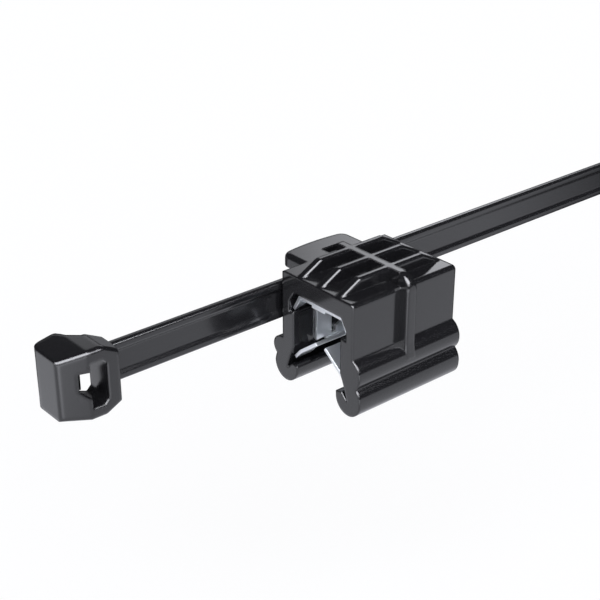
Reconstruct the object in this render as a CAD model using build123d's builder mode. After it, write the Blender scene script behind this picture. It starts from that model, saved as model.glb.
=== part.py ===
from build123d import *
import os

# Edge clip with a cable tie threaded through its side saddle.
# X runs along the panel edge and the tie strap, towards the tail.
# Y points from the ribbed near wall to the saddle, Z points up and the clip opens downwards.
# The origin is the middle of the seat that the panel edge reaches, under the metal insert.
# All lengths are in millimetres.

# Metal insert
sheet = 0.4                 # spring steel thickness
channel_half = 3.53         # middle of the channel to an arm's inner face
insert_length = 14.4        # web and barbs along X
arm_length = 9.3            # arms along X
bend_radius = 0.2           # inside radius of the sharp folds
barb_bend_z = -6.5          # where an arm folds back into its barb
barb_tip_y = 0.83           # middle of the channel to a barb's tip
barb_rise = 2.05            # a barb's tip above its fold
foot_reach = 0.95           # a foot's end outside its fold
foot_drop = 1.05            # a foot's end below its fold
fold_relief = 0.3           # gap between an arm's edge and the foot beside it
barb_joint = 0.3            # share of a barb left slit from its fold
wing_inset = 0.1            # a wing's fold inside the arm's face
wing_reach = 0.85           # a wing's end outside the arm's face
wing_drop = 1.76            # a wing's end below the seat
wing_taper = 1.05           # rise of a wing's lower edge along X
window_half = 2.4           # half length of the window in an arm
window_top = -0.9
window_bottom = -6.05
window_corner = 0.5
tooth_half = 1.57           # half length of the tooth in that window at its root
tooth_tip_half = 0.6
tooth_shoulder = 0.8        # height of the tooth's straight flank
tooth_height = 1.3
fold_notch_start = 3.2      # notches in the fold, from the middle along X
fold_notch_rise = 0.5       # their rise above the fold's lowest line
fold_notch_slant = 0.15     # how far each notch's edges lean
stop_tab_y = 0.4            # middle of the front stop tab under the web
stop_tab_width = 2.2
stop_tab_length = 0.5
stop_tab_drop = 0.3

# Clip body
insert_gap = 0.03           # each side between insert and plastic
body_length = 15.6
leg_wall = 1.9
ceiling_gap = 0.38          # web to ceiling
plate_thickness = 2.1
recess_depth = 0.85         # pocket that the insert's wings spring into
recess_top = -0.55
recess_bottom = -1.9
recess_rise = 0.2           # slope of the pocket's lower lip
flare_top = -6.0            # where a leg's inner face starts to slope out
flare_mid = 0.68
flare_mid_z = -7.62
flare_low = 1.13
flare_low_z = -9.0
lip_slot_z = -9.26          # bottom of the slot behind a lip
mouth_half = 3.32           # middle of the channel to a lip
hook_radius = 1.93          # round foot of each leg
hook_z = -8.95
lip_top_z = -8.48
lip_top_width = 0.85
hook_shoulder = 0.96        # share of its radius that a foot reaches beside the bulge
groove_width = 0.12         # thin line between a leg's two bulges
near_bulge_top = -3.8
near_bulge_proud = 1.21
near_groove_z = -7.09
near_groove_proud = 0.66
far_bulge_top = -5.6
far_bulge_proud = 1.6
far_groove_z = -7.95
far_groove_proud = 1.1
near_top_round = 0.5
far_top_round = 0.2
pad_proud = 0.1             # pads that hold the insert's arms lengthwise
pad_width = 1.95
pad_gap = 0.3
pad_top = -1.95
pad_bottom = -5.85

# Ribs on the plate and the near wall
rib_height = 1.5
rib_width = 1.0
rib_round = 0.3             # rounding along the upper edges of the ribs
rib_root = 0.5              # how far a rib is rooted in the plate
rib_pitch = 3.17
rib_flat = 9.65             # length of a rib's level top
rib_foot = 15.35            # length of a rib at the plate
cross_rib_end = 4.97        # far end of the cross rib
cross_rib_radius = 1.75
wall_rib_width = 1.5
wall_rib_proud = 1.1
wall_rib_foot = 1.28        # the same at its flared foot
wall_rib_bottom = -5.65

# Saddle on the far wall
strap_gap = 0.3             # far wall to strap
saddle_side_gap = 0.15      # strap to the outer wall
saddle_edge_gap = 0.12      # strap edge to a tab
saddle_half_length = 4.8
saddle_reach = 10.1         # crown of the tabs
saddle_bow = 0.45           # how far the crown stands past the tabs' corners
saddle_corner = 1.3
saddle_top_round = 0.6
saddle_setback = 0.5        # outer wall inside the tabs' outline
saddle_wall_end = 1.1       # outer wall's ends inside the tabs' ends
window_start_x = -0.65      # window over the strap
window_end_x = 2.4
window_y_margin = 0.05

# Cable tie
strap_width = 4.6
strap_thickness = 1.05
strap_z = -1.05             # middle of the strap's width
rail_width = 0.73
recess_floor = 0.25         # depth of the strap's long recess
rail_slope = 0.47
head_x = -31.25             # where the strap meets the head
tie_length = 160.0
tail_length = 16.0
tail_tip_half = 1.15
tail_round = 0.8
strap_round = 0.37
head_length = 6.45          # head beyond that place
head_half_height = 3.95
head_end_half_height = 3.44
head_step = 3.3             # where the head's flat middle ends, distal side
shoulder_step = 1.5         # the same, strap side
shoulder_half_height = 2.85
shoulder_reach = 0.67       # head's overlap on the strap
head_near = 2.6             # near face in front of the strap's near face
head_end_near = 1.55        # the same at the distal end
head_far = 3.27             # far face behind the strap's near face
head_end_far = 2.05
head_round = 0.35           # rounding of the shoulders' ends
head_rim = 0.45             # rounding of the near face's rims and distal corner
head_near_facing = 0.9      # least share of a near face's normal along Y
head_lean = 0.18            # lean of the strap side's near half
head_crown_back = 1.9       # crown of the far face from the distal end
head_crown_front = 0.3
head_crown_drop = 0.15
head_far_step = 1.0         # step of the far face beside the strap
shoulder_round = 1.0
slot_near = -1.2            # slot's strap side
slot_distal = -3.2
slot_half = 2.57
slot_corner = 0.5
slot_overlap = 0.2          # how far the pawl's pocket cuts into the slot
notch_x = -4.42             # window beside the slot that shows the pawl
notch_half = 1.65
notch_low = -0.3            # lower end of the window's distal side
notch_slant = 1.15          # drop of its slanted lower side
notch_skin = 0.7            # head wall left at the near face
pawl_side_gap = 0.2
pawl_back_gap = 0.45
pawl_teeth = 3
pawl_tooth_pitch = 0.6
pawl_tooth_height = 0.25
pawl_front = -3.3
pawl_tip_y = -0.85
pawl_first_tooth_y = -0.15
pawl_hinge_y = 1.7
pawl_hinge = 0.5            # thickness of the flexing root
serration_pitch = 1.3       # teeth across the strap's recess, towards the tail
serration_count = 40
serration_start = 83.0      # from the head's end of the strap
serration_margin = 0.08

# Sizes worked out from those above
arm_outer = channel_half + sheet
leg_inner = arm_outer + insert_gap
leg_outer = leg_inner + leg_wall
ceiling_z = sheet + ceiling_gap
plate_top = ceiling_z + plate_thickness
barb_tip_z = barb_bend_z + barb_rise
hook_y = mouth_half + hook_radius
strap_y = leg_outer + strap_gap
strap_top = strap_z + strap_width / 2
strap_bottom = strap_z - strap_width / 2
saddle_wall_y = strap_y + strap_thickness + saddle_side_gap
tab_bottom = strap_top + saddle_edge_gap
tab_thickness = plate_top - tab_bottom


def half_outline(side, bulge_top, bulge_proud, groove_z, groove_proud):
    # Half of the clip's profile, from the middle of the plate down one leg to its hooked foot
    bulge_mid = (bulge_top + groove_z) / 2
    groove_y = leg_outer + groove_proud
    groove_end = groove_z - groove_width
    hook_start = (groove_end + hook_z) / 2
    lip_y = hook_y - hook_radius
    Polyline(
        (0, ceiling_z),
        (0, plate_top),
        (side * leg_outer, plate_top),
        (side * leg_outer, bulge_top),
    )
    ThreePointArc(
        (side * leg_outer, bulge_top),
        (side * (leg_outer + bulge_proud), bulge_mid),
        (side * groove_y, groove_z),
    )
    Line((side * groove_y, groove_z), (side * groove_y, groove_end))
    ThreePointArc(
        (side * groove_y, groove_end),
        (side * (hook_y + hook_radius * hook_shoulder), hook_start),
        (side * (hook_y + hook_radius), hook_z),
    )
    ThreePointArc(
        (side * (hook_y + hook_radius), hook_z),
        (side * hook_y, hook_z - hook_radius),
        (side * lip_y, hook_z),
    )
    Polyline(
        (side * lip_y, hook_z),
        (side * lip_y, lip_top_z),
        (side * (lip_y + lip_top_width), lip_top_z + groove_width),
        (side * (leg_inner + flare_low), lip_slot_z),
        (side * (leg_inner + flare_low), flare_low_z),
        (side * (leg_inner + flare_mid), flare_mid_z),
        (side * leg_inner, flare_top),
        (side * leg_inner, recess_bottom + recess_rise),
        (side * (leg_inner + recess_depth), recess_bottom),
        (side * (leg_inner + recess_depth), recess_top),
        (side * leg_inner, ceiling_z),
        (0, ceiling_z),
    )


rib_top = plate_top + rib_height
wall_rib_y = -(leg_outer + wall_rib_proud)
wall_rib_top = rib_top - cross_rib_radius
wall_rib_back = -leg_outer + near_top_round

with BuildPart() as wall_rib:
    # Rib that turns over the near edge and runs down the wall, wider below the turn
    with BuildSketch(Plane.YZ):
        with BuildLine():
            Line((wall_rib_y + cross_rib_radius, rib_top), (wall_rib_y + cross_rib_radius, ceiling_z))
            Polyline(
                (wall_rib_y + cross_rib_radius, ceiling_z),
                (wall_rib_back, ceiling_z),
                (wall_rib_back, wall_rib_bottom),
                (-leg_outer - wall_rib_foot, wall_rib_bottom),
                (wall_rib_y, near_bulge_top),
                (wall_rib_y, wall_rib_top),
            )
            RadiusArc((wall_rib_y, wall_rib_top), (wall_rib_y + cross_rib_radius, rib_top), cross_rib_radius)
        make_face()
    extrude(amount=wall_rib_width / 2, both=True)
    with BuildSketch(Plane.XZ):
        with BuildLine():
            Polyline(
                (-rib_width / 2, rib_top),
                (rib_width / 2, rib_top),
                (wall_rib_width / 2, wall_rib_top),
                (wall_rib_width / 2, wall_rib_bottom),
                (-wall_rib_width / 2, wall_rib_bottom),
                (-wall_rib_width / 2, wall_rib_top),
                close=True,
            )
        make_face()
    extrude(amount=2 * leg_outer, both=True, mode=Mode.INTERSECT)
    wall_rib_front = wall_rib.faces().filter_by(
        lambda face: face.center().Y < wall_rib_y + cross_rib_radius / 2
        and abs(face.center().X) < rib_width / 4
    )
    wall_rib_sides = wall_rib_front.edges().filter_by(
        lambda rim: abs(rim.center().X) > rib_width / 4 and rim.center().Z > wall_rib_bottom
    )
    fillet(wall_rib_sides, radius=rib_round)

with BuildPart() as rib:
    # One of the ribs along X, with sloping ends and rounded shoulders
    with BuildSketch(Plane.XZ):
        with BuildLine():
            Polyline(
                (-rib_foot / 2, plate_top),
                (-rib_flat / 2, rib_top),
                (rib_flat / 2, rib_top),
                (rib_foot / 2, plate_top),
                (rib_foot / 2, plate_top - rib_root),
                (-rib_foot / 2, plate_top - rib_root),
                close=True,
            )
        make_face()
    extrude(amount=rib_width / 2, both=True)
    rib_shoulders = rib.edges().filter_by(
        lambda rim: abs(rim.center().Y) > rib_width / 4 and rim.center().Z > plate_top
    )
    fillet(rib_shoulders, radius=rib_round)

with BuildPart() as clip_body:
    # Plate and legs, one profile along the panel edge
    with BuildSketch(Plane.YZ.offset(-body_length / 2)):
        with BuildLine():
            half_outline(-1, near_bulge_top, near_bulge_proud, near_groove_z, near_groove_proud)
        make_face()
        with BuildLine():
            half_outline(1, far_bulge_top, far_bulge_proud, far_groove_z, far_groove_proud)
        make_face()
    extrude(amount=body_length)
    top_edges = clip_body.edges().filter_by(Axis.X).group_by(Axis.Z)[-1].sort_by(Axis.Y)
    fillet(top_edges[0], radius=near_top_round)
    fillet(top_edges[-1], radius=far_top_round)

    # Pads inside the legs that keep the arms from sliding along X
    pad_x = arm_length / 2 + pad_gap + pad_width / 2
    pad_z = (pad_top + pad_bottom) / 2
    for side in (-1, 1):
        with BuildSketch(Plane.XZ.offset(-side * (leg_inner - pad_proud))):
            with Locations((-pad_x, pad_z), (pad_x, pad_z)):
                Rectangle(pad_width, pad_top - pad_bottom)
        extrude(amount=-side * (pad_proud + insert_gap))

    # Three ribs along X
    for row in (-1, 0, 1):
        add(rib.part.moved(Location((0, row * rib_pitch, 0))))

    # Cross rib over the plate
    with BuildSketch(Plane.YZ):
        with Locations(((cross_rib_end + wall_rib_y + cross_rib_radius) / 2, plate_top)):
            Rectangle(cross_rib_end - wall_rib_y - cross_rib_radius, 2 * rib_height)
    extrude(amount=rib_width / 2, both=True)
    add(wall_rib.part)

    # Saddle tabs above and below the strap
    with BuildSketch(Plane.XY.offset(tab_bottom)) as tab:
        with BuildLine():
            corner_y = saddle_reach - saddle_bow
            Polyline(
                (saddle_half_length, corner_y),
                (saddle_half_length, leg_inner),
                (-saddle_half_length, leg_inner),
                (-saddle_half_length, corner_y),
            )
            ThreePointArc(
                (-saddle_half_length, corner_y), (0, saddle_reach), (saddle_half_length, corner_y)
            )
        make_face()
        fillet(tab.vertices().group_by(Axis.Y)[-1], radius=saddle_corner)
    extrude(amount=tab_thickness)
    lower_tab_drop = 2 * strap_z - plate_top - tab_bottom
    extrude(tab.sketch.moved(Location((0, 0, lower_tab_drop))), amount=tab_thickness)

    tab_rims = clip_body.edges().filter_by_position(
        Axis.Z, plate_top - insert_gap, plate_top + insert_gap
    )
    tab_rims = tab_rims.filter_by(lambda rim: rim.center().Y > leg_outer + saddle_top_round)
    fillet(tab_rims, radius=saddle_top_round)

    # Outer wall of the saddle, set back inside the tabs
    with BuildSketch(Plane.XY.offset(strap_bottom - saddle_edge_gap)) as saddle_wall:
        wall_half = saddle_half_length - saddle_wall_end
        wall_far = saddle_reach - saddle_setback
        with BuildLine():
            Polyline(
                (wall_half, wall_far - saddle_bow),
                (wall_half, saddle_wall_y),
                (-wall_half, saddle_wall_y),
                (-wall_half, wall_far - saddle_bow),
            )
            ThreePointArc(
                (-wall_half, wall_far - saddle_bow), (0, wall_far), (wall_half, wall_far - saddle_bow)
            )
        make_face()
        fillet(saddle_wall.vertices(), radius=saddle_wall_end / 2)
    extrude(amount=strap_width + 2 * saddle_edge_gap)

    # Window through the upper tab over the strap
    with BuildSketch(Plane.XY.offset(tab_bottom)):
        with Locations(((window_start_x + window_end_x) / 2, strap_y + strap_thickness / 2)):
            Rectangle(window_end_x - window_start_x, strap_thickness + 2 * window_y_margin)
    extrude(amount=tab_thickness, mode=Mode.SUBTRACT)

with BuildPart() as metal_insert:
    # Wings at the four corners, which spring into the legs' pockets
    wing_start = arm_length / 2 + fold_relief
    wing_length = insert_length / 2 - wing_start
    wing_fold = channel_half - wing_inset
    with BuildSketch(Plane.YZ.offset(wing_start)):
        with BuildLine():
            wing_line = Polyline(
                (-channel_half - wing_reach, -wing_drop),
                (-wing_fold, 0),
                (wing_fold, 0),
                (channel_half + wing_reach, -wing_drop),
            )
            offset(wing_line, amount=sheet, side=Side.LEFT)
        make_face()
    extrude(amount=wing_length)
    with BuildSketch(Plane.XZ):
        with BuildLine():
            Polyline(
                (wing_start, -wing_drop + wing_taper),
                (insert_length / 2, -wing_drop),
                (insert_length / 2, -2 * wing_drop),
                (wing_start, -2 * wing_drop),
                close=True,
            )
        make_face()
    extrude(amount=2 * leg_outer, both=True, mode=Mode.SUBTRACT)

    # Feet beside the arms, folded outwards against the legs' slopes
    barb_tip = (barb_tip_y, barb_tip_z)
    barb_bend = (channel_half, barb_bend_z)
    foot_end = (channel_half + foot_reach, barb_bend_z - foot_drop)
    with BuildSketch(Plane.YZ.offset(wing_start)):
        with BuildLine():
            foot_line = FilletPolyline(barb_tip, barb_bend, foot_end, radius=bend_radius)
            offset(foot_line, amount=sheet, side=Side.RIGHT)
        make_face()
    extrude(amount=wing_length)
    mirror(about=Plane.XZ)
    mirror(about=Plane.YZ)

    # One folded strip makes both barbs, both arms and the web
    with BuildSketch(Plane.YZ):
        with BuildLine():
            strip_line = FilletPolyline(
                (-barb_tip_y, barb_tip_z),
                (-channel_half, barb_bend_z),
                (-channel_half, 0),
                (channel_half, 0),
                barb_bend,
                barb_tip,
                radius=bend_radius,
            )
            offset(strip_line, amount=sheet, side=Side.LEFT)
        make_face()
    extrude(amount=arm_length / 2, both=True)

    # Web and barbs run on past the arms' edges to the corners
    with BuildSketch(Plane.XY):
        Rectangle(2 * wing_start, 2 * (wing_fold - bend_radius))
    extrude(amount=sheet)
    barb_root = Vector(*barb_bend) + (Vector(*barb_tip) - Vector(*barb_bend)) * barb_joint
    for side, outside in ((-1, Side.LEFT), (1, Side.RIGHT)):
        with BuildSketch(Plane.YZ):
            with BuildLine():
                barb_line = Line((side * barb_tip_y, barb_tip_z), (side * barb_root.X, barb_root.Y))
                offset(barb_line, amount=sheet, side=outside)
            make_face()
        extrude(amount=wing_start, both=True)

    # Window in each arm with a short tooth standing in it
    with BuildSketch(Plane.XZ):
        with Locations((0, (window_top + window_bottom) / 2)):
            RectangleRounded(2 * window_half, window_top - window_bottom, window_corner)
        with BuildLine():
            Polyline(
                (-tooth_half, window_bottom - window_corner / 2),
                (-tooth_half, window_bottom + tooth_shoulder),
                (-tooth_tip_half, window_bottom + tooth_height),
                (tooth_tip_half, window_bottom + tooth_height),
                (tooth_half, window_bottom + tooth_shoulder),
                (tooth_half, window_bottom - window_corner / 2),
                close=True,
            )
        make_face(mode=Mode.SUBTRACT)
    extrude(amount=2 * arm_outer, both=True, mode=Mode.SUBTRACT)

    # Notches in the fold beside the feet
    with BuildSketch(Plane.XZ):
        fold_notch_top = barb_bend_z + fold_notch_rise
        with BuildLine():
            Polyline(
                (fold_notch_start, barb_bend_z - sheet),
                (fold_notch_start + fold_notch_slant, fold_notch_top),
                (arm_length / 2 + sheet, fold_notch_top - fold_notch_slant),
                (arm_length / 2 + sheet, barb_bend_z - sheet),
                close=True,
            )
        make_face()
        mirror(about=Plane.YZ)
    extrude(amount=2 * arm_outer, both=True, mode=Mode.SUBTRACT)

    # Stop tab under the front edge of the web
    with BuildSketch(Plane.XY.offset(-stop_tab_drop)):
        with Locations((-(insert_length - stop_tab_length) / 2, stop_tab_y)):
            Rectangle(stop_tab_length, stop_tab_width)
    extrude(amount=stop_tab_drop + sheet)

tie_plan = Plane((head_x, strap_y, strap_z))
tie_side = Plane(origin=(head_x, strap_y, strap_z), x_dir=(1, 0, 0), z_dir=(0, -1, 0))
tie_section = Plane(origin=(head_x, strap_y, strap_z), x_dir=(0, 1, 0), z_dir=(1, 0, 0))
strap_length = tie_length - head_length
floor_half = strap_width / 2 - rail_width - rail_slope

strap_half = strap_width / 2
serration_end = serration_start + serration_count * serration_pitch

with BuildPart() as strap:
    # Flat strap with a long recess between two rails
    with BuildSketch(tie_section):
        with Locations((strap_thickness / 2, 0)):
            RectangleRounded(strap_thickness, strap_width, strap_round)
        with BuildLine():
            Polyline(
                (-strap_round, -strap_half + rail_width),
                (0, -strap_half + rail_width),
                (recess_floor, -floor_half),
                (recess_floor, floor_half),
                (0, strap_half - rail_width),
                (-strap_round, strap_half - rail_width),
                close=True,
            )
        make_face(mode=Mode.SUBTRACT)
    extrude(amount=strap_length)

    # Teeth across the recess, ramps towards the tail and steep faces towards the head
    with BuildSketch(tie_plan.offset(-floor_half + serration_margin)):
        with BuildLine():
            saw = [(serration_start, recess_floor * 2)]
            for tooth in range(serration_count):
                tooth_x = serration_start + tooth * serration_pitch
                saw.append((tooth_x, recess_floor))
                saw.append((tooth_x, serration_margin / 2))
            saw.append((serration_end, recess_floor))
            saw.append((serration_end, recess_floor * 2))
            Polyline(*saw, close=True)
        make_face()
    extrude(amount=2 * (floor_half - serration_margin))

    # Tail narrows to a rounded tip
    with BuildSketch(tie_side) as strap_side:
        with BuildLine():
            Polyline(
                (0, -strap_half),
                (strap_length - tail_length, -strap_half),
                (strap_length, -tail_tip_half),
                (strap_length, tail_tip_half),
                (strap_length - tail_length, strap_half),
                (0, strap_half),
                close=True,
            )
        make_face()
        fillet(strap_side.vertices().group_by(Axis.X)[-1], radius=tail_round)
    extrude(amount=2 * strap_thickness, both=True, mode=Mode.INTERSECT)

with BuildPart() as cable_tie:
    # Head, its outline seen from above
    with BuildSketch(tie_plan.offset(-head_half_height)):
        with BuildLine():
            Polyline(
                (shoulder_reach - head_near * head_lean, -head_near),
                (-head_step, -head_near),
                (-head_length, -head_end_near),
                (-head_length, head_end_far),
            )
            Spline(
                (-head_length, head_end_far),
                (-head_length + head_crown_back, head_far),
                (-head_step - head_crown_front, head_far - head_crown_drop),
                tangents=((0, 1), (1, -1)),
            )
            Polyline(
                (-head_step - head_crown_front, head_far - head_crown_drop),
                (-head_step + head_crown_front, strap_thickness + head_far_step),
                (-shoulder_step - head_round, strap_thickness),
                (shoulder_reach, strap_thickness),
                (shoulder_reach, 0),
                (shoulder_reach - head_near * head_lean, -head_near),
            )
        make_face()
    extrude(amount=2 * head_half_height)

    # The head's outline seen from the near side
    with BuildSketch(tie_side) as head_side:
        with BuildLine():
            Polyline(
                (-head_length, -head_end_half_height),
                (-head_length, head_end_half_height),
                (-head_step, head_half_height),
                (-shoulder_step, head_half_height),
                (shoulder_reach, shoulder_half_height),
                (shoulder_reach, -shoulder_half_height),
                (-shoulder_step, -head_half_height),
                (-head_step, -head_half_height),
                close=True,
            )
        make_face()
        fillet(head_side.vertices().group_by(Axis.X)[-2], radius=shoulder_round)
        fillet(head_side.vertices().group_by(Axis.X)[-1], radius=head_round)
    extrude(amount=2 * head_length, both=True, mode=Mode.INTERSECT)
    near_faces = cable_tie.faces().filter_by(lambda face: face.normal_at().Y < -head_near_facing)
    near_rims = near_faces.edges().filter_by(
        lambda rim: abs(rim.center().Z - strap_z) > shoulder_half_height + head_rim
    )
    head_corner = cable_tie.edges().filter_by(Axis.Z).group_by(Axis.X)[0].sort_by(Axis.Y)[0]
    fillet(near_rims + [head_corner], radius=head_rim)

    # Slot for the tail, right through
    with BuildSketch(tie_side.offset(2 * head_near)):
        with BuildLine():
            Polyline(
                (slot_distal, slot_half),
                (slot_near - slot_corner, slot_half),
                (slot_near, slot_half - slot_corner),
                (slot_near, -slot_half + slot_corner),
                (slot_near - slot_corner, -slot_half),
                (slot_distal, -slot_half),
                close=True,
            )
        make_face()
    extrude(amount=-4 * head_far, mode=Mode.SUBTRACT)

    # Window beside the slot in the near face, and the open pocket behind it
    with BuildSketch(tie_side.offset(2 * head_near)):
        with BuildLine():
            Polyline(
                (slot_distal + slot_overlap, notch_half),
                (notch_x, notch_half),
                (notch_x, notch_low),
                (slot_distal, notch_low - notch_slant),
                (slot_distal + slot_overlap, notch_low - notch_slant),
                close=True,
            )
        make_face()
    extrude(amount=-head_near - notch_skin, mode=Mode.SUBTRACT)
    pocket_near = -head_near + notch_skin
    with BuildSketch(tie_plan.offset(-notch_half)):
        with BuildLine():
            Polyline(
                (notch_x, pocket_near),
                (slot_distal + slot_overlap, pocket_near),
                (slot_distal + slot_overlap, 2 * head_far),
                (notch_x, 2 * head_far),
                close=True,
            )
        make_face()
    extrude(amount=2 * notch_half, mode=Mode.SUBTRACT)

    # Pawl in the pocket, held by its thin root at the entry side
    pawl_back = notch_x + pawl_back_gap
    with BuildSketch(tie_plan.offset(-notch_half + pawl_side_gap)):
        with BuildLine():
            pawl = [(notch_x - slot_overlap, pawl_hinge_y), (pawl_front, pawl_hinge_y)]
            for tooth in reversed(range(pawl_teeth)):
                tooth_y = pawl_first_tooth_y + tooth * pawl_tooth_pitch
                pawl.append((pawl_front, tooth_y + pawl_tooth_pitch))
                pawl.append((pawl_front + pawl_tooth_height, tooth_y))
            pawl.append((pawl_front, pawl_first_tooth_y))
            pawl.append((pawl_back + (pawl_front - pawl_back) / 2, pawl_tip_y))
            pawl.append((pawl_back, pawl_first_tooth_y))
            pawl.append((pawl_back, pawl_hinge_y - 2 * pawl_hinge))
            pawl.append((notch_x - slot_overlap, pawl_hinge_y - pawl_hinge))
            Polyline(*pawl, close=True)
        make_face()
    extrude(amount=2 * (notch_half - pawl_side_gap))
    add(strap.part)

cable_tie.part.label = "cable_tie"
clip_body.part.label = "clip_body"
metal_insert.part.label = "metal_insert"
os.makedirs("parts", exist_ok=True)
export_step(clip_body.part, "parts/clip_body.step")
export_step(metal_insert.part, "parts/metal_insert.step")
export_step(cable_tie.part, "parts/cable_tie.step")
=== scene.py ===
import math

import bpy
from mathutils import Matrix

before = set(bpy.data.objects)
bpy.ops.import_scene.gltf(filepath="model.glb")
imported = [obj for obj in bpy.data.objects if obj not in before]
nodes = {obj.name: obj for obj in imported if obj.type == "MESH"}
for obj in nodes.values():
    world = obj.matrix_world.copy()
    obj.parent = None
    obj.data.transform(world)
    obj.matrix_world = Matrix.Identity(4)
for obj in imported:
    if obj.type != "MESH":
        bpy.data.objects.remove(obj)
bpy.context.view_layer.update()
print("frame loaded:", sorted(nodes))


# Shader maths written as plain expressions
class Sock:
    def __init__(self, tree, link):
        self.tree = tree
        self.link = link

    def mathNode(self, operation, other=None, flip=False):
        node = self.tree.nodes.new("ShaderNodeMath")
        node.operation = operation
        terms = [self, other] if not flip else [other, self]
        for place, term in enumerate(terms):
            if isinstance(term, Sock):
                self.tree.links.new(term.link, node.inputs[place])
            elif term is not None:
                node.inputs[place].default_value = term
        return Sock(self.tree, node.outputs[0])

    def __add__(self, other):
        return self.mathNode("ADD", other)

    def __radd__(self, other):
        return self.mathNode("ADD", other, True)

    def __sub__(self, other):
        return self.mathNode("SUBTRACT", other)

    def __rsub__(self, other):
        return self.mathNode("SUBTRACT", other, True)

    def __mul__(self, other):
        return self.mathNode("MULTIPLY", other)

    def __rmul__(self, other):
        return self.mathNode("MULTIPLY", other, True)

    def clamp(self):
        return self.mathNode("MINIMUM", 1.0).mathNode("MAXIMUM", 0.0)


class Finish:
    def __init__(self, name, tree=None):
        if tree is None:
            self.material = bpy.data.materials.new(name)
            self.material.use_nodes = True
            tree = self.material.node_tree
        self.tree = tree
        self.tree.nodes.clear()

    def node(self, kind, settings=None, output=0, **values):
        made = self.tree.nodes.new("ShaderNode" + kind)
        for key, value in (settings or {}).items():
            setattr(made, key, value)
        for key, value in values.items():
            # n0, n1 and n2 name a socket by its number
            numbered = key[0] == "n" and key[1:].isdigit()
            plug = made.inputs[int(key[1:]) if numbered else key.replace("_", " ")]
            if isinstance(value, Sock):
                self.tree.links.new(value.link, plug)
            else:
                plug.default_value = value
        return Sock(self.tree, made.outputs[output])

    def close(self, shader, kind="OutputMaterial"):
        made = self.tree.nodes.new("ShaderNode" + kind)
        self.tree.links.new(shader.link, made.inputs[0])


def dress(node, finish):
    # the finish takes the place of every slot that the node came with
    mesh = nodes[node].data
    mesh.materials.clear()
    mesh.materials.append(finish.material)


# Glossy black nylon, as moulded
nylon = {
    "colour": (0.012, 0.012, 0.0135, 1),
    "refraction": 1.53,
    "bodyRough": 0.12,
    "tieRough": 0.12,
    "roughSpan": 0.06,
    "flowSize": 120.0,
    "flowDetail": 3.0,
    "grainSize": 900.0,
    "grainDetail": 2.0,
    "grainBump": 0.015,
    "grainDepth": 0.00002,
    "bodyRound": 0.00038,
    "tieRound": 0.00026,
    "headRound": 0.00055,
    "headEnd": -0.031,
    "roundSamples": 12,
    # ranges of X, Y and Z in which the body's corners stay sharp, on both sides of its middle
    "sharpBoxes": {
        "wallRibRoot": ((0.00074, 0.00115), (-0.00632, -0.00542), (-0.0042, 0.0029)),
        "wallRibFoot": ((0.00074, 0.00115), (-0.0073, -0.0055), (-0.0059, -0.0037)),
        "crossRibRoot": ((0.0, 0.001), (-0.0052, 0.005), (0.00286, 0.00408)),
        "crossRibRim": ((0.00048, 0.0008), (-0.0052, 0.005), (0.004, 0.0045)),
        "farPads": ((0.004, 0.0074), (0.0036, 0.0041), (-0.0062, -0.0016)),
        "nearPads": ((0.004, 0.0074), (-0.0041, -0.0036), (-0.0062, -0.0016)),
    },
}


def insideBox(finish, place, box):
    # 1 inside the box and in its mirror image along X, 0 elsewhere
    inside = 1.0
    for axis, (low, high) in zip("XYZ", box):
        at = finish.node("SeparateXYZ", output=axis, Vector=place)
        if axis == "X":
            at = at.mathNode("ABSOLUTE")
        inside = at.mathNode("GREATER_THAN", low) * at.mathNode("LESS_THAN", high) * inside
    return inside


def makeNylon(name, edgeRound, roughLow, headRound=None, sharpBoxes=()):
    finish = Finish(name)
    place = finish.node("TexCoord", output="Object")
    if headRound:
        # the head has softer edges than the strap
        along = finish.node("SeparateXYZ", output="X", Vector=place)
        inHead = along.mathNode("LESS_THAN", nylon["headEnd"])
        edgeRound = edgeRound + inHead * (headRound - edgeRound)
    for box in sharpBoxes:
        edgeRound = edgeRound * (1 - insideBox(finish, place, box))
    flow = finish.node("TexNoise", Vector=place, Scale=nylon["flowSize"], Detail=nylon["flowDetail"])
    grain = finish.node("TexNoise", Vector=place, Scale=nylon["grainSize"], Detail=nylon["grainDetail"])
    rounded = finish.node("Bevel", {"samples": nylon["roundSamples"]}, Radius=edgeRound)
    bumped = finish.node(
        "Bump", Strength=nylon["grainBump"], Distance=nylon["grainDepth"], Height=grain, Normal=rounded,
    )
    finish.close(finish.node(
        "BsdfPrincipled",
        Base_Color=nylon["colour"],
        Roughness=roughLow + flow * nylon["roughSpan"],
        IOR=nylon["refraction"],
        Normal=bumped,
    ))
    return finish


# Blue-grey spring steel with a fine rolling grain along the clip
steel = {
    "colour": (0.78, 0.80, 0.82, 1),
    "roughLow": 0.38,
    "roughSpan": 0.16,
    "rollSize": 2200.0,
    "rollStretch": (0.04, 1.0, 1.0),
    "rollDetail": 4.0,
    "rollBump": 0.06,
    "rollDepth": 0.00001,
    "edgeRound": 0.00006,
    "roundSamples": 8,
}


def makeSteel():
    finish = Finish("springSteel")
    place = finish.node("TexCoord", output="Object")
    along = finish.node("Mapping", Vector=place, Scale=steel["rollStretch"])
    grain = finish.node("TexNoise", Vector=along, Scale=steel["rollSize"], Detail=steel["rollDetail"])
    rounded = finish.node("Bevel", {"samples": steel["roundSamples"]}, Radius=steel["edgeRound"])
    bumped = finish.node(
        "Bump", Strength=steel["rollBump"], Distance=steel["rollDepth"], Height=grain, Normal=rounded,
    )
    finish.close(finish.node(
        "BsdfPrincipled",
        Base_Color=steel["colour"],
        Metallic=1.0,
        Roughness=steel["roughLow"] + grain * steel["roughSpan"],
        Normal=bumped,
    ))
    return finish


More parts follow.
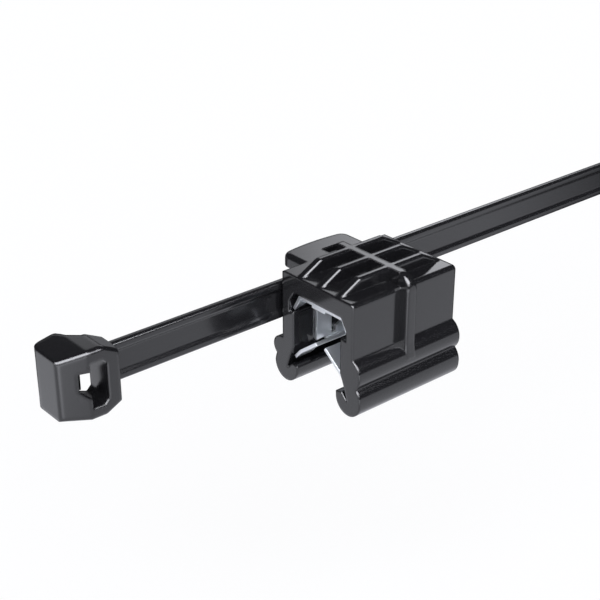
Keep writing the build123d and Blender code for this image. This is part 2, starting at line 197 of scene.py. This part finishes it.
dress("clip_body", makeNylon(
    "bodyNylon", nylon["bodyRound"], nylon["bodyRough"], sharpBoxes=nylon["sharpBoxes"].values(),
))
dress("cable_tie", makeNylon(
    "tieNylon", nylon["tieRound"], nylon["tieRough"], headRound=nylon["headRound"],
))
dress("metal_insert", makeSteel())
print("finishes set")

# Floor, well below the clip because the part is held up by its panel
floorSet = {
    "level": -0.045,
    "half": 3.0,
    "colour": (0.9, 0.9, 0.9, 1),
    "shadowShare": 0.25,
    "glow": 1.08,
    "glowColour": (1, 1, 1, 1),
    # painted reflection: tint and levels of the floor's glow that only glossy rays see
    "mirrorColour": (0.92, 0.935, 1.0, 1),
    "frontGlow": 1.15,
    "backGlow": 0.03,
    "backWay": (0.64, 0.77, 0.0),
    "backStart": 0.02,
    "backSpan": 0.035,
    "farGlow": 0.3,
    "farStart": 0.115,
    "farSpan": 0.03,
    "cornerGlow": 2.4,
    "cornerAt": (-0.04, -0.03),
    "cornerSpan": 0.03,
}


def makeFloor():
    bpy.ops.object.select_all(action="DESELECT")
    bpy.ops.mesh.primitive_plane_add(size=2 * floorSet["half"], location=(0, 0, floorSet["level"]))
    floor = bpy.context.object
    floor.name = "floor"
    finish = Finish("floorWhite")
    place = finish.node("TexCoord", output="Object")
    alongX = finish.node("SeparateXYZ", output="X", Vector=place)
    alongY = finish.node("SeparateXYZ", output="Y", Vector=place)
    # painted reflections: for glossy rays the floor glows, white in front of the clip, dark behind it,
    # with a grey strip far behind and a bright patch near the camera, mirrored by the part's polished
    # faces as painted highlights and painted dark bands
    behind = finish.node(
        "VectorMath", {"operation": "DOT_PRODUCT"}, output="Value", n0=place, n1=floorSet["backWay"],
    )
    back = ((behind - floorSet["backStart"]) * (1 / floorSet["backSpan"])).clamp()
    far = ((alongY - floorSet["farStart"]) * (1 / floorSet["farSpan"])).clamp()
    cornerX, cornerY = floorSet["cornerAt"]
    corner = ((cornerX - alongX) * (1 / floorSet["cornerSpan"])).clamp()
    corner = corner * ((cornerY - alongY) * (1 / floorSet["cornerSpan"])).clamp()
    level = floorSet["frontGlow"] + back * (floorSet["backGlow"] - floorSet["frontGlow"])
    level = level + far * floorSet["farGlow"] + corner * floorSet["cornerGlow"]
    paintedReflection = finish.node("Emission", Color=floorSet["mirrorColour"], Strength=level)
    # what the camera sees: even white that keeps a little of the shadows
    matt = finish.node("BsdfDiffuse", Color=floorSet["colour"])
    glow = finish.node("Emission", Color=floorSet["glowColour"], Strength=floorSet["glow"])
    seen = finish.node("LightPath", output="Is Camera Ray")
    shiny = finish.node("LightPath", output="Is Glossy Ray")
    shown = finish.node("MixShader", n0=seen * (1 - floorSet["shadowShare"]), n1=matt, n2=glow)
    # glossy rays see the painted reflection instead of the lit floor
    finish.close(finish.node("MixShader", n0=shiny, n1=shown, n2=paintedReflection))
    floor.data.materials.append(finish.material)


makeFloor()

# Studio of soft boxes in an otherwise dim room, whose reflections show other strengths than the light
# they give: painted highlights and painted dark reflections
sky = {
    "dim": 0.3,
    "dark": 0.04,
    "heightEdge": 0.05,
    "litColour": (0.94, 0.95, 1, 1),
    "white": 1.0,
    "whiteColour": (1, 1, 1, 1),
}
# azimuth and half width in degrees, low and high as sines of the elevation, and the strengths
# that matt faces get and the painted highlight strengths that polished faces mirror
softBoxes = {
    "front": {
        "azimuth": -124.5, "half": 60.5, "low": 0.47, "high": 0.98,
        "edge": 0.05, "lit": 2.0, "paintedReflection": 15.0,
    },
    "frontFoot": {
        "azimuth": -124.5, "half": 60.5, "low": 0.25, "high": 0.52,
        "edge": 0.05, "lit": 2.0, "paintedReflection": 6.0,
    },
    # this box, like the back and horizon boxes, lights nothing and only paints highlights in
    # reflections
    "side": {
        "azimuth": -60.0, "half": 7.0, "low": 0.42, "high": 0.98,
        "edge": 0.05, "lit": 0.0, "paintedReflection": 15.0,
    },
    "back": {
        "azimuth": 40.5, "half": 10.5, "low": 0.33, "high": 0.52,
        "edge": 0.14, "lit": 0.0, "paintedReflection": 2.8,
    },
    "wide": {
        "azimuth": 57.0, "half": 19.0, "low": 0.22, "high": 0.52,
        "edge": 0.1, "lit": 1.8, "paintedReflection": 0.8,
    },
    "horizon": {
        "azimuth": 45.0, "half": 10.0, "low": -0.2, "high": 0.14,
        "edge": 0.05, "lit": 0.0, "paintedReflection": 0.3,
    },
}


def makeWorld():
    world = bpy.data.worlds.new("studio")
    bpy.context.scene.world = world
    world.use_nodes = True
    finish = Finish("studio", world.node_tree)
    place = finish.node("TexCoord", output="Generated")
    east = finish.node("SeparateXYZ", output="X", Vector=place)
    north = finish.node("SeparateXYZ", output="Y", Vector=place)
    height = finish.node("SeparateXYZ", output="Z", Vector=place)
    azimuth = north.mathNode("ARCTAN2", east)
    seen = finish.node("LightPath", output="Is Camera Ray")
    shiny = finish.node("LightPath", output="Is Glossy Ray")
    # reflections see a darker room than the light it gives: painted dark reflections
    level = sky["dim"] + shiny * (sky["dark"] - sky["dim"])
    for box in softBoxes.values():
        # angle from the middle of the box, taken the short way round
        aside = (azimuth - math.radians(box["azimuth"])).mathNode("ABSOLUTE")
        aside = math.pi - (aside - math.pi).mathNode("ABSOLUTE")
        across = ((math.radians(box["half"]) - aside) * (1 / box["edge"])).clamp()
        over = ((height - box["low"]) * (1 / sky["heightEdge"])).clamp()
        under = ((box["high"] - height) * (1 / sky["heightEdge"])).clamp()
        # polished faces mirror the box's painted highlight strength instead of the light it gives
        strength = box["lit"] + shiny * (box["paintedReflection"] - box["lit"])
        level = level + across * over * under * strength
    lit = finish.node("Background", Color=sky["litColour"], Strength=level)
    white = finish.node("Background", Color=sky["whiteColour"], Strength=sky["white"])
    finish.close(finish.node("MixShader", n0=seen, n1=lit, n2=white), "OutputWorld")


makeWorld()
print("floor and light set")

# Camera at the photograph's place
shot = {
    "at": (-0.090989, -0.095225, 0.064751),
    "heading": 49.68406,
    "down": 26.61369,
    "focalPixels": 1297.0,
    "imagePixels": 600.0,
    "sensor": 36.0,
    "nearest": 0.005,
    "farthest": 20.0,
}


def makeCamera():
    data = bpy.data.cameras.new("photoCamera")
    data.sensor_width = shot["sensor"]
    data.lens = shot["focalPixels"] / shot["imagePixels"] * shot["sensor"]
    data.clip_start = shot["nearest"]
    data.clip_end = shot["farthest"]
    camera = bpy.data.objects.new("photoCamera", data)
    camera.location = shot["at"]
    camera.rotation_euler = (
        math.radians(90 - shot["down"]),
        0,
        math.radians(shot["heading"] - 90),
    )
    bpy.context.scene.collection.objects.link(camera)
    bpy.context.scene.camera = camera


makeCamera()
bpy.context.scene.view_settings.view_transform = "Standard"
print("camera set")
